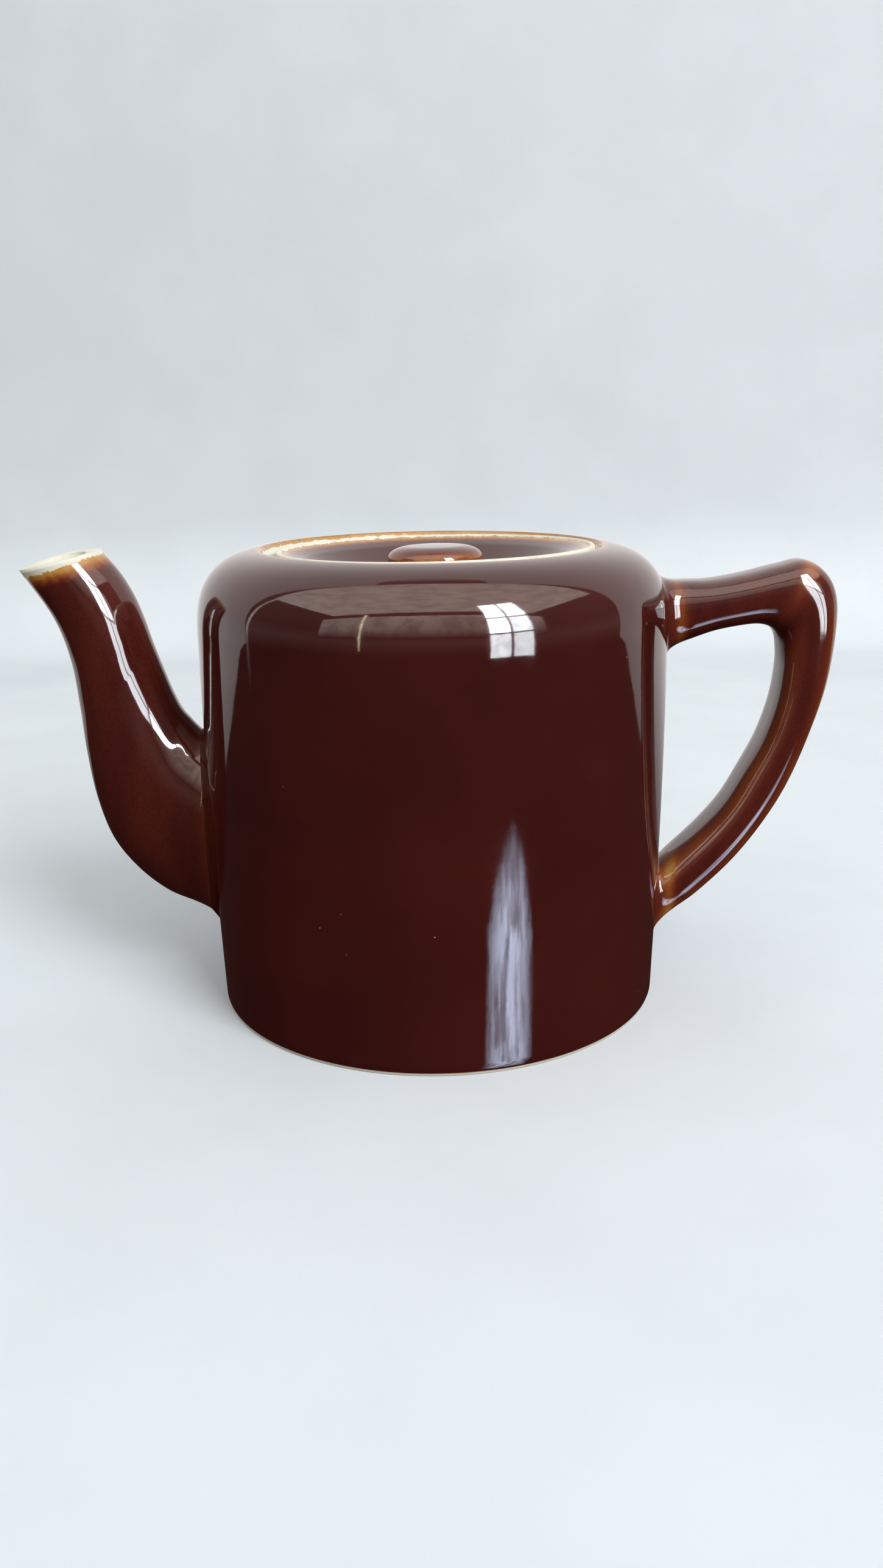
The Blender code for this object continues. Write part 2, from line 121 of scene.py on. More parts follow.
ROOT_OVERLAP = 0.15  # how deep the spout's and handle's flared roots sink into the body

# Lid: a sunken dish with a button knob, lying a little off centre and askew in its seat
LID_X = 0.95
LID_Z = 126.1
LID_TILT = (math.radians(-0.52), math.radians(-0.59), 0.0)
LID_R = 43.2
LID_RIM_IN_R = 41.5
LID_STEP_Z = -4.9
LID_PLUG_R = 36.9
LID_FLOOR_Z = -8.5
LID_BASE_Z = -12.6
LID_BOWL = [(0.0, LID_FLOOR_Z, 0), (25.5, LID_FLOOR_Z, 14.0), (36.0, -2.4, 9.0)]  # radius, height, rounding
LID_SIDES = 224
VENT_R = 1.6
VENT_X = 19.0
KNOB_R = 12.95
KNOB_TOP_Z = 0.35
KNOB_EQUATOR_Z = -2.9
KNOB_UNDER_Z = -5.6
KNOB_TOP_ROUND = 6.0
KNOB_UNDER_ROUND = 2.6
KNOB_CROWN = 0.15
KNOB_STEM_R = 6.5
KNOB_STEM_FLARE = 2.0
KNOB_SIDES = 128

# Infuser basket of stainless sheet
SHEET = 0.8
BASKET_R = 39.4
BASKET_TOP_Z = 119.4
BASKET_BASE_Z = 46.0
RIM_R = 44.0
RIM_BEAD_R = 0.75
RIM_SIDES = 192
COLLAR_BOTTOM_Z = 112.5
UPTURN = 2.0
PERFORATION_R = 0.8
PERFORATION_COLUMNS = 84
PERFORATION_ROW_PITCH = 2.7
PERFORATED_TOP_Z = 109.0
PERFORATED_BASE_Z = 53.0
FLOOR_PERFORATION_PITCH = 2.95
FLOOR_PLAIN_EDGE = 3.0
HOLE_SIDES = 12
FLOOR_BEND = 0.9
FLOOR_SIDES = 168
LOOP_WIRE_R = 1.0
LOOP_TOP_Z = 111.2
LOOP_DROP = 9.0
LOOP_HALF_WIDTH = 9.0
LOOP_REACH = 7.5
LOOP_STATIONS = 49
LOOP_SIDES = 20
LOOP_ENDS = (0.86, 0.97, 1.0)  # the wire's ends are rounded off
GAP = 0.3  # air between the basket's pieces

# Finishes, in linear colour
GLAZE_DEEP = (0.034, 0.0052, 0.0045)
GLAZE_BODY = (0.056, 0.0085, 0.0065)
GLAZE_RED = (0.120, 0.0200, 0.0095)
GLAZE_AMBER = (0.290, 0.0820, 0.0150)
GLAZE_HONEY = (0.480, 0.2450, 0.0560)
CLAY = (0.740, 0.700, 0.580)
CLAY_DARK = (0.600, 0.540, 0.400)
PINHOLE = (0.42, 0.30, 0.22)
STEEL = (0.620, 0.610, 0.590)
STEEL_STAIN = (0.50, 0.455, 0.40)
STEEL_BRIGHT = (0.70, 0.69, 0.67)

# Camera, at the height and tilt of a hand-held phone in front of the table
CAMERA_PLACE = (1.246, -351.105, 158.606)
CAMERA_PITCH = 0.27623
CAMERA_YAW = 0.00313
CAMERA_ROLL = -0.01596
CAMERA_LENS = 29.317
SENSOR = 36.0

# Studio
PAPER = (0.74, 0.77, 0.78)
SKY = (0.67, 0.69, 0.70)
BELOW = (0.10, 0.07, 0.06)
HORIZON = (0.72, 0.76, 0.78)
DAYLIGHT = (0.90, 0.95, 1.0)
BACKDROP_HALF_WIDTH = 4000.0
BACKDROP_FRONT = -6000.0
BACKDROP_BACK = 620.0
BACKDROP_BEND = 90.0
BACKDROP_HEIGHT = 2400.0
POT_MIDDLE = Vector((0.0, 0.0, 75.0))
WINDOW_AZIMUTH = 36.0
WINDOW_HALF_WIDTH = 11.0
WINDOW_ROWS = ((-8.0, 10.0), (10.0, 28.0), (28.0, 48.0))
WINDOW_GLOW = 50.0
WINDOW_PANES = ((0.35, 0.30), (0.85, 0.45), (1.0, 0.7))  # how bright each is, in rows from the lowest
WINDOW_BARS = 0.7
PANE_DISTANCE = 1500.0
KEY_ELEVATION = 34.0
KEY_DISTANCE = 3000.0
KEY_SIZE = (1400.0, 1800.0)
KEY_POWER = 78.0
ROOM = (1.0, 0.86, 0.77)
# What the glaze mirrors, from straight down (0) over the horizon (0.5) to straight up (1)
MIRRORED = [(0.30, (0.030, 0.014, 0.012)), (0.44, (0.060, 0.034, 0.030)), (0.52, (0.30, 0.22, 0.20)),
            (0.60, (0.16, 0.12, 0.11)), (1.0, (0.30, 0.26, 0.24))]


# ---------------- shapes

class Skin:
    """Rings of points, and for each ring how the glaze lies on it.

    edge: millimetres from where the brown glaze stops, negative on bare clay.
    thin: 0 to 1, how thin the glaze runs, which turns it amber.
    inner: 1 where the clay is under a clear glaze instead.
    """

    def __init__(self):
        self.rings = []
        self.channels = {"edge": [], "thin": [], "inner": []}

    def add(self, ring, edge=FAR, thin=0.0, inner=0.0):
        points = np.array(ring, float).reshape(-1, 3)
        self.rings.append(points)
        for name, value in (("edge", edge), ("thin", thin), ("inner", inner)):
            self.channels[name].append(np.broadcast_to(np.asarray(value, float), len(points)))

    def mesh(self, loop):
        """Points and faces over the rings; a ring of one point is a pole."""
        starts = np.cumsum([0] + [len(ring) for ring in self.rings])
        faces = []
        pairs = len(self.rings) if loop else len(self.rings) - 1
        for a in range(pairs):
            b = (a + 1) % len(self.rings)
            low, high = len(self.rings[a]), len(self.rings[b])
            for i in range(max(low, high)):
                j = i + 1
                corners = (starts[a] + i % low, starts[a] + j % low,
                           starts[b] + j % high, starts[b] + i % high)
                faces.append([int(corner) for corner in dict.fromkeys(corners)])
        return np.concatenate(self.rings), faces


def linked(name, data):
    """A new object in the scene."""
    made = bpy.data.objects.new(name, data)
    bpy.context.scene.collection.objects.link(made)
    return made


def piece(name, points, faces, finish, body, nodes, channels=None, place=None):
    """A shown piece made from points in millimetres, which stands for CAD nodes and rides on their body."""
    mesh = bpy.data.meshes.new(name)
    moved = np.array(points, float)
    if place is not None:
        turn = np.array(place.to_3x3())
        moved = moved @ turn.T + np.array(place.translation)
    moved = moved + (AXIS_X, 0.0, 0.0)
    mesh.from_pydata((moved * MM).tolist(), [], faces)
    for channel, values in (channels or {}).items():
        attribute = mesh.attributes.new(channel, "FLOAT", "POINT")
        attribute.data.foreach_set("value", np.concatenate(values).astype(np.float32))
    bm = bmesh.new()
    bm.from_mesh(mesh)
    bmesh.ops.recalc_face_normals(bm, faces=bm.faces)
    bm.to_mesh(mesh)
    bm.free()
    mesh.shade_smooth()
    mesh.materials.append(finish)
    made = linked(name, mesh)
    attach(made, body)
    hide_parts(*nodes)
    return made


def rounded(corners, steps=6):
    """A path through (radius, height, fillet) corners with each corner rounded off."""
    path = [corners[0][:2]]
    for before, corner, after in zip(corners, corners[1:], corners[2:]):
        here = Vector(corner[:2])
        back = Vector(before[:2]) - here
        onward = Vector(after[:2]) - here
        fillet = corner[2]
        if fillet <= 0:
            path.append(tuple(here))
            continue
        half = back.angle(onward) / 2
        reach = min(fillet / math.tan(half), 0.49 * back.length, 0.49 * onward.length)
        start = here + back.normalized() * reach
        stop = here + onward.normalized() * reach
        centre = here + (back.normalized() + onward.normalized()).normalized() * (reach / math.cos(half))
        radius = reach * math.tan(half)
        for i in range(steps + 1):
            spoke = (start - centre).lerp(stop - centre, i / steps).normalized() * radius
            path.append(tuple(centre + spoke))
    path.append(corners[-1][:2])
    return path


def subdivided(path, longest):
    """The path with points added so that no step is longer than the given length."""
    made = [path[0]]
    for a, b in zip(path, path[1:]):
        parts = max(1, math.ceil(math.dist(a, b) / longest))
        for i in range(1, parts + 1):
            made.append((a[0] + (b[0] - a[0]) * i / parts, a[1] + (b[1] - a[1]) * i / parts))
    return made


def circle(radius, height, steps):
    if radius < 1e-6:
        return np.array([(0.0, 0.0, height)])
    angles = np.arange(steps) * math.tau / steps
    return np.stack([radius * np.cos(angles), radius * np.sin(angles), np.full(steps, height)], 1)


def arc(centre, radius_r, radius_z, start, stop, count):
    """Points on an ellipse's arc in the (radius, height) plane, angles in degrees from +radius."""
    angles = [math.radians(start + (stop - start) * i / (count - 1)) for i in range(count)]
    return [(centre[0] + radius_r * math.cos(a), centre[1] + radius_z * math.sin(a)) for a in angles]


def spline(points, t):
    """A Catmull-Rom curve through the points, t from 0 to 1."""
    place = min(max(t, 0.0), 1.0) * (len(points) - 1)
    k = min(int(place), len(points) - 2)
    u = place - k
    p1 = Vector(points[k])
    p2 = Vector(points[k + 1])
    p0 = Vector(points[k - 1]) if k > 0 else 2 * p1 - p2
    p3 = Vector(points[k + 2]) if k + 2 < len(points) else 2 * p2 - p1
    return 0.5 * (2 * p1 + (p2 - p0) * u + (2 * p0 - 5 * p1 + 4 * p2 - p3) * u * u
                  + (3 * p1 - p0 - 3 * p2 + p3) * u ** 3)


def dipped(points, depth=WOBBLE, length=WOBBLE_LENGTH):
    """Points of an upright wall drawn in towards the axis by a slow, uneven wobble."""
    made = []
    for x, y, z in points:
        dip = depth * (0.5 + 0.5 * noise.noise(Vector((x, y, 0.6 * z)) / length))
        level = math.hypot(x, y)
        made.append((x * (1 - dip / level), y * (1 - dip / level), z))
    return np.array(made)


def body_radius(z):
    """The pot's outer radius at a height: a wall that draws in to the foot, then a squared-off shoulder."""
    if z <= SHOULDER_Z:
        fall = max(0.0, WIDEST_Z - z) / WIDEST_Z
        return BODY_R - (BODY_R - FOOT_R) * fall * fall
    rise = min(1.0, (z - SHOULDER_Z) / SHOULDER_RISE)
    reach = (1.0 - rise ** SHOULDER_POWER) ** (1.0 / SHOULDER_POWER)
    return SHOULDER_CREST_R + (BODY_R - SHOULDER_CREST_R) * reach


def onto_body(point, gap):
    """The point moved level, straight towards or away from the axis, until it is the gap off the body."""
    level = math.hypot(point.x, point.y)
    scale = (body_radius(point.z) + gap) / level
    return Vector((point.x * scale, point.y * scale, point.z))


def hit_body(start, direction, gap):
    """Where a ray from outside meets the body's surface, the gap off it."""
    near, far = 0.0, 40.0
    for _ in range(40):
        middle = (near + far) / 2
        point = start + direction * middle
        if math.hypot(point.x, point.y) > body_radius(point.z) + gap:
            near = middle
        else:
            far = middle
    return start + direction * near


def section(top, bottom, half_width, sides, power, inset=0.0):
    """A ring across the plane y = 0, an oval or a rounded oblong, from one outline point to the other."""
    middle = (top + bottom) / 2
    across = (top - bottom) / 2
    across *= (across.length - inset) / across.length
    ring = []
    for i in range(sides):
        angle = math.tau * i / sides
        c, s = math.cos(angle), math.sin(angle)
        stretch = (abs(c) ** power + abs(s) ** power) ** (-1.0 / power)
        flat = middle + across * (c * stretch)
        ring.append(Vector((flat.x, (half_width - inset) * s * stretch, flat.y)))
    return ring


def landing(ring, before, fillet, rows, gap):
    """Rings that carry on from a ring towards the body and flare out along its surface."""
    hits = []
    for point, back in zip(ring, before):
        direction = (point - back).normalized()
        hits.append(hit_body(point, direction, gap))
    centre = sum(hits, Vector()) / len(hits)
    made = []
    for row in range(1, rows + 1):
        s = row / rows
        new = []
        for start, hit in zip(ring, hits):
            out = (hit - centre).normalized()
            rim = onto_body(hit + out * fillet, gap)
            new.append((1 - s) ** 2 * start + 2 * s * (1 - s) * hit + s * s * rim)
        made.append(new)
    return made


# ---------------- pot

def pot_profile():
    """Paths of (radius, height): the inside from the middle of the floor, lip, outside, glaze's end, foot."""
    inner_r = BODY_R - WALL
    floor = [(0.0, FLOOR_Z, 0), (inner_r - 1.5, FLOOR_Z, FLOOR_CORNER_R), (inner_r - 0.5, 45.0, 60),
             (inner_r, 75.0, 60)]
    inside = rounded(floor + [(inner_r, SHOULDER_Z - 3.0, 0)], 10)
    inside += arc((NECK_R + 2.0, SHOULDER_Z - 3.0), inner_r - NECK_R - 2.0, 12.5, 4, 84, 14)
    neck = [(NECK_R, NECK_BOTTOM_Z + 0.6, 0), (NECK_R, LEDGE_Z, 0.5), (BORE_R, LEDGE_Z, 0.6),
            (BORE_R, CONE_BOTTOM_Z, 1.2)]
    reach = (LIP_R + 1.0 - SHOULDER_CREST_R) / (BODY_R - SHOULDER_CREST_R)
    phi_lip = math.acos(reach ** (SHOULDER_POWER / 2))
    shoulder = []
    for i in range(70):
        phi = phi_lip * (1 - i / 70)
        z = SHOULDER_Z + SHOULDER_RISE * math.sin(phi) ** (2 / SHOULDER_POWER)
        shoulder.append((body_radius(z), z))
    lip = rounded(neck + [(LIP_R - 0.25, LIP_Z + 0.05, 0.7), (*shoulder[0], 0)], 8)
    wall = [(body_radius(z), z) for z in np.linspace(SHOULDER_Z, FOOT_GLAZE_Z + 0.5, 62)]
    glaze_end = [(FOOT_R - 0.02, FOOT_GLAZE_Z + 0.25), (FOOT_R - 0.10, FOOT_GLAZE_Z + 0.05),
                 (FOOT_R - 0.24, FOOT_GLAZE_Z - 0.06)]
    foot = rounded([(FOOT_R - 0.28, FOOT_GLAZE_Z - 0.1, 0), (FOOT_R - 0.4, 0.0, 0.4),
                    (FOOT_RING_IN_R, 0.0, 0.5), (FOOT_RING_IN_R - 3.0, FOOT_RECESS, 1.0),
                    (0.0, FOOT_RECESS, 0)])
    return (subdivided(inside, 4.0), subdivided(lip, 1.0), shoulder[1:] + wall[1:], glaze_end,
            subdivided(foot, 4.0))


def lip_thin(from_crest):
    return LIP_THIN * math.exp(-(from_crest / LIP_THIN_REACH) ** 2)


def pot_body(finish):
    inside, lip, outside, glaze_end, foot = pot_profile()
    skin = Skin()
    for radius, height in inside:
        skin.add(circle(radius, height, POT_SIDES), edge=-FAR, inner=1.0)
    crest = max(range(len(lip)), key=lambda i: lip[i][1])
    run = [0.0]
    for a, b in zip(lip, lip[1:]):
        run.append(run[-1] + math.dist(a, b))
    for (radius, height), at in zip(lip, run):
        from_crest = at - run[crest]
        skin.add(circle(radius, height, POT_SIDES), edge=from_crest + LIP_GLAZE, thin=lip_thin(from_crest),
                 inner=float(height < LEDGE_Z - 0.5))
    for radius, height in outside:
        past_lip = math.dist((radius, height), lip[crest])
        above_foot = height - FOOT_GLAZE_Z
        fade = min(1.0, above_foot / WOBBLE_FADE, past_lip / WOBBLE_FADE)
        ring = dipped(circle(radius, height, POT_SIDES), WOBBLE * fade)
        skin.add(ring, edge=min(FAR, FOOT_EDGE_SHARPNESS * (above_foot + 0.1), past_lip + LIP_GLAZE),
                 thin=lip_thin(past_lip))
    for radius, height in glaze_end:
        ending = FOOT_EDGE_SHARPNESS * max(0.0, height - FOOT_GLAZE_Z + 0.1)
        skin.add(circle(radius, height, POT_SIDES), edge=ending)
    for radius, height in foot:
        skin.add(circle(radius, height, POT_SIDES), edge=-3.0, inner=float(radius < FOOT_RING_IN_R - 2.0))
    points, faces = skin.mesh(loop=False)
    made = piece("pot_shell", points, faces, finish, "pot", ["pot_body"], skin.channels)
    strainer(made)
    return made


def drilled(shell, places, radius, depth):
    """Drills round holes through a shell, each along its place's own Z and centred there."""
    bm = bmesh.new()
    for place in places:
        bmesh.ops.create_cone(bm, cap_ends=True, segments=28, radius1=radius * MM, radius2=radius * MM,
                              depth=depth * MM, matrix=place)
    mesh = bpy.data.meshes.new("drill")
    bm.to_mesh(mesh)
    bm.free()
    drill = linked("drill", mesh)
    boolean = shell.modifiers.new("holes", "BOOLEAN")
    boolean.operation = "DIFFERENCE"
    boolean.object = drill
    bpy.context.view_layer.update()
    evaluated = shell.evaluated_get(bpy.context.evaluated_depsgraph_get())
    made = bpy.data.meshes.new_from_object(evaluated)
    shell.modifiers.clear()
    shell.data = made
    bpy.data.objects.remove(drill)


def hole_place(x, y, z, tilt=0.0):
    """Where a drill stands, in millimetres from the pot's axis, turned about Y from upright."""
    place = Euler((0.0, tilt, 0.0)).to_matrix().to_4x4()
    place.translation = Vector((AXIS_X + x, y, z)) * MM
    return place


def strainer(shell):
    """The ring of strainer holes behind the spout."""
    centres = [(0.0, STRAINER_Z)]
    for i in range(6):
        angle = math.radians(30 + 60 * i)
        centres.append((STRAINER_PITCH * math.cos(angle), STRAINER_Z + STRAINER_PITCH * math.sin(angle)))
    places = [hole_place(WALL - BODY_R, y, z, math.radians(90)) for y, z in centres]
    drilled(shell, places, STRAINER_R, 4 * WALL)


# ---------------- spout and handle

def spout_half_width(t):
    ease = min(1.0, t / SPOUT_EASE)
    return SPOUT_ROOT_HALF_WIDTH + (SPOUT_TIP_HALF_WIDTH - SPOUT_ROOT_HALF_WIDTH) * ease


def spout_ring(t, inset):
    top, bottom = spline(SPOUT_INNER, t), spline(SPOUT_OUTER, t)
    return section(top, bottom, spout_half_width(t), SPOUT_SIDES, 2.0, inset)


def off_body(point):
    """How far outside the body's wall a point is."""
    return math.hypot(point.x, point.y) - body_radius(point.z)


def root_amber(point, middle, reach):
    """How strongly the glaze runs thin in a band round a root, this far off the body."""
    return math.exp(-((off_body(point) - middle) / reach) ** 2)


def spout(finish):
    """The outside runs from the lip to the root, and the inside from the root back to the lip."""
    rises = spline(SPOUT_INNER, 1.0) - spline(SPOUT_INNER, 0.97)
    up = Vector((rises.x, 0.0, rises.y)).normalized() * SPOUT_LIP_RISE
    across = [math.sin(math.tau * i / SPOUT_SIDES) for i in range(SPOUT_SIDES)]
    sides = [s if s > 0 else -SPOUT_LIP_NEAR * s for s in across]
    lip = []
    for angle in np.linspace(180, 0, 15):
        turn = math.radians(angle)
        inset = SPOUT_WALL / 2 * (1.0 - math.copysign(abs(math.cos(turn)) ** 0.7, math.cos(turn)))
        lift = math.sin(turn) ** 0.6
        lip.append([point + up * lift * side for point, side in zip(spout_ring(1.0, inset), sides)])
    outside = [spout_ring(1.0 - i / (SPOUT_STATIONS - 1), 0.0) for i in range(SPOUT_STATIONS)]
    flare = landing(outside[-1], outside[-2], SPOUT_FILLET, 14, -ROOT_OVERLAP)
    side = 0.5 - 0.5 * np.cos(math.tau * np.arange(SPOUT_SIDES) / SPOUT_SIDES)
    bare = SPOUT_BARE_INNER + (SPOUT_BARE_OUTER - SPOUT_BARE_INNER) * side
    run = np.zeros(SPOUT_SIDES)
    before = None
    skin = Skin()
    for ring in lip:
        skin.add(ring, edge=-2.0 - bare)
    for ring in outside + flare:
        points = np.array(ring)
        if before is not None:
            run = run + np.linalg.norm(points - before, axis=1)
        before = points
        near = np.array([root_amber(point, 0.8, 2.2) for point in ring])
        edge = np.minimum(SPOUT_EDGE_SHARPNESS * (run - bare), FAR)
        skin.add(ring, edge=edge, thin=0.2 + 0.3 * near)
    for i in range(50):
        t = i / 49
        skin.add(spout_ring(0.02 + 0.98 * t, SPOUT_WALL), edge=-FAR, inner=float(t < 0.93))
    points, faces = skin.mesh(loop=True)
    return piece("spout_shell", points, faces, finish, "pot", ["spout"], skin.channels)


def handle_ring(t):
    top, bottom = spline(HANDLE_OUTER, t), spline(HANDLE_INNER, t)
    return section(top, bottom, HANDLE_HALF_WIDTH, HANDLE_SIDES, HANDLE_SQUARENESS, HANDLE_INSET)


def necked(ring, depth):
    """The ring drawn in at its sides, as where a handle's end was smoothed into its slip."""
    return [Vector((point.x, point.y * (1 - depth / HANDLE_HALF_WIDTH), point.z)) for point in ring]


def handle_thin(ring, t):
    """Thin along the ridges of the upright arm, round the outer corner and where the arm lands on the pot."""
    made = []
    for i, point in enumerate(ring):
        angle = math.tau * i / len(ring)
        ridge = (2 * abs(math.cos(angle) * math.sin(angle))) ** 3
        arm = min(1.0, max(0.0, (t - HANDLE_UPRIGHT) / 0.1))
        elbow = math.exp(-((t - HANDLE_ELBOW) / 0.035) ** 2) * (0.5 + 0.5 * math.cos(angle))
        near = root_amber(point, 3.6, 2.0)
        made.append(min(1.0, 0.2 + 0.34 * ridge * arm + 0.5 * elbow + 0.42 * near))
    return made


def handle(finish):
    skin = Skin()
    arm = []
    for i in range(HANDLE_STATIONS):
        t = i / (HANDLE_STATIONS - 1)
        ring = handle_ring(t)
        close = max(0.0, off_body(sum(ring, Vector()) / len(ring)))
        depth = HANDLE_NECK * max(0.0, 1 - close / HANDLE_NECK_LENGTH) ** 2
        arm.append((t, necked(ring, depth)))
    upper = landing(arm[0][1], arm[1][1], HANDLE_FILLET, 12, -ROOT_OVERLAP)
    lower = landing(arm[-1][1], arm[-2][1], HANDLE_FILLET, 12, -ROOT_OVERLAP)
    rows = [(0.0, ring) for ring in reversed(upper)] + arm + [(1.0, ring) for ring in lower]
    skin.add([onto_body(sum(upper[-1], Vector()) / len(upper[-1]), -0.4)])
    for t, ring in rows:
        skin.add(ring, thin=handle_thin(ring, t))
    skin.add([onto_body(sum(lower[-1], Vector()) / len(lower[-1]), -0.4)])
    points, faces = skin.mesh(loop=False)
    return piece("handle_shell", points, faces, finish, "pot", ["handle"], skin.channels)


# ---------------- lid

def lid_place():
    place = Euler(LID_TILT).to_matrix().to_4x4()
    place.translation = Vector((LID_X, 0.0, LID_Z))
    return place


def lid_dish(finish):
    """A bare rim, a glazed dish inside it, a clear-glazed plug below, and the vent hole."""
    rim = [(LID_RIM_IN_R - 0.2, -0.55, 1.0), (LID_RIM_IN_R + 0.45, 0.0, 0.4), (LID_R - 0.3, 0.0, 0.45),
           (LID_R, -0.5, 0)]
    top = rounded(LID_BOWL + rim, 12)
    under = rounded([(LID_R, -0.5, 0), (LID_R, LID_STEP_Z, 0.4), (LID_PLUG_R, LID_STEP_Z, 0.4),
                     (LID_PLUG_R, LID_BASE_Z, 5.5), (0.0, LID_BASE_Z, 0)], 10)
    skin = Skin()
    for radius, height in subdivided(top, 1.2):
        skin.add(circle(radius, height, LID_SIDES), edge=min(FAR, LID_RIM_IN_R - 0.1 - radius))
    for radius, height in subdivided(under, 1.6)[1:]:
        plug = float(radius < LID_PLUG_R - 0.5)
        skin.add(circle(radius, height, LID_SIDES), edge=-FAR, inner=plug)
    points, faces = skin.mesh(loop=False)
    made = piece("lid_shell", points, faces, finish, "lid", ["lid_dish"], skin.channels,
                 lid_place())
    vent = hole_place(LID_X + VENT_X, 0.0, LID_Z + LID_FLOOR_Z)
    drilled(made, [vent], VENT_R, 4 * (LID_FLOOR_Z - LID_BASE_Z))
    return made


def lid_knob(finish):
    """A button on a short stem that flares into the dish."""
    foot_z = LID_FLOOR_Z - 0.05
    above, below = KNOB_TOP_Z - KNOB_EQUATOR_Z, KNOB_EQUATOR_Z - KNOB_UNDER_Z
    top = arc((KNOB_R - KNOB_TOP_ROUND, KNOB_EQUATOR_Z), KNOB_TOP_ROUND, above, 88, 0, 18)
    under = arc((KNOB_R - KNOB_UNDER_ROUND, KNOB_EQUATOR_Z), KNOB_UNDER_ROUND, below, -8, -90, 10)
    stem = rounded([(*under[-1], 0), (KNOB_STEM_R, KNOB_UNDER_Z - 0.3, 0.8),
                    (KNOB_STEM_R, LID_FLOOR_Z + 0.5, 1.0), (KNOB_STEM_R + KNOB_STEM_FLARE, foot_z, 0),
                    (0.0, foot_z, 0)], 6)
    skin = Skin()
    for radius, height in subdivided([(0.0, KNOB_TOP_Z + KNOB_CROWN)] + top + under + stem[1:], 0.8):
        side = math.exp(-((height - KNOB_EQUATOR_Z) / 2.4) ** 2) * min(1.0, radius / KNOB_R)
        skin.add(circle(radius, height, KNOB_SIDES), thin=0.15 + 0.6 * side)
    points, faces = skin.mesh(loop=False)
    return piece("lid_knob_shell", points, faces, finish, "lid", ["lid_knob"], skin.channels,
                 lid_place())


# ---------------- infuser

def infuser_rim(finish):
    """A flange rolled over at its edge, with a collar round the basket's top."""
    low = LEDGE_Z + GAP
    collar_in = BASKET_R + GAP
    collar_out = collar_in + SHEET
    bead = arc((RIM_R - RIM_BEAD_R, low + RIM_BEAD_R), RIM_BEAD_R, RIM_BEAD_R, 150, -90, 18)
    under = rounded([(*bead[-1], 0), (collar_out, low, 0.8), (collar_out, COLLAR_BOTTOM_Z, 0.2),
                     (collar_in, COLLAR_BOTTOM_Z, 0.2), (collar_in, low + SHEET, 0.8), (*bead[0], 0)], 6)
    path = subdivided(bead + under[1:-1], 1.5)
    skin = Skin()
    for radius, height in path:
        skin.add(circle(radius, height, RIM_SIDES))
    points, faces = skin.mesh(loop=True)
    return piece("infuser_rim_shell", points, faces, finish, "infuser", ["infuser_rim"])


def cell_outline(pitch_u, pitch_v):
    """The twelve points round a cell that meet those of a row shifted by half a cell."""
    quarters = [-0.5, -0.25, 0.0, 0.25]
    outline = [(u * pitch_u, -0.5 * pitch_v) for u in quarters]
    outline += [(0.5 * pitch_u, v * pitch_v) for v in (-0.5, 0.0)]
    outline += [(-u * pitch_u, 0.5 * pitch_v) for u in quarters]
    outline += [(-0.5 * pitch_u, -v * pitch_v) for v in (-0.5, 0.0)]
    return outline


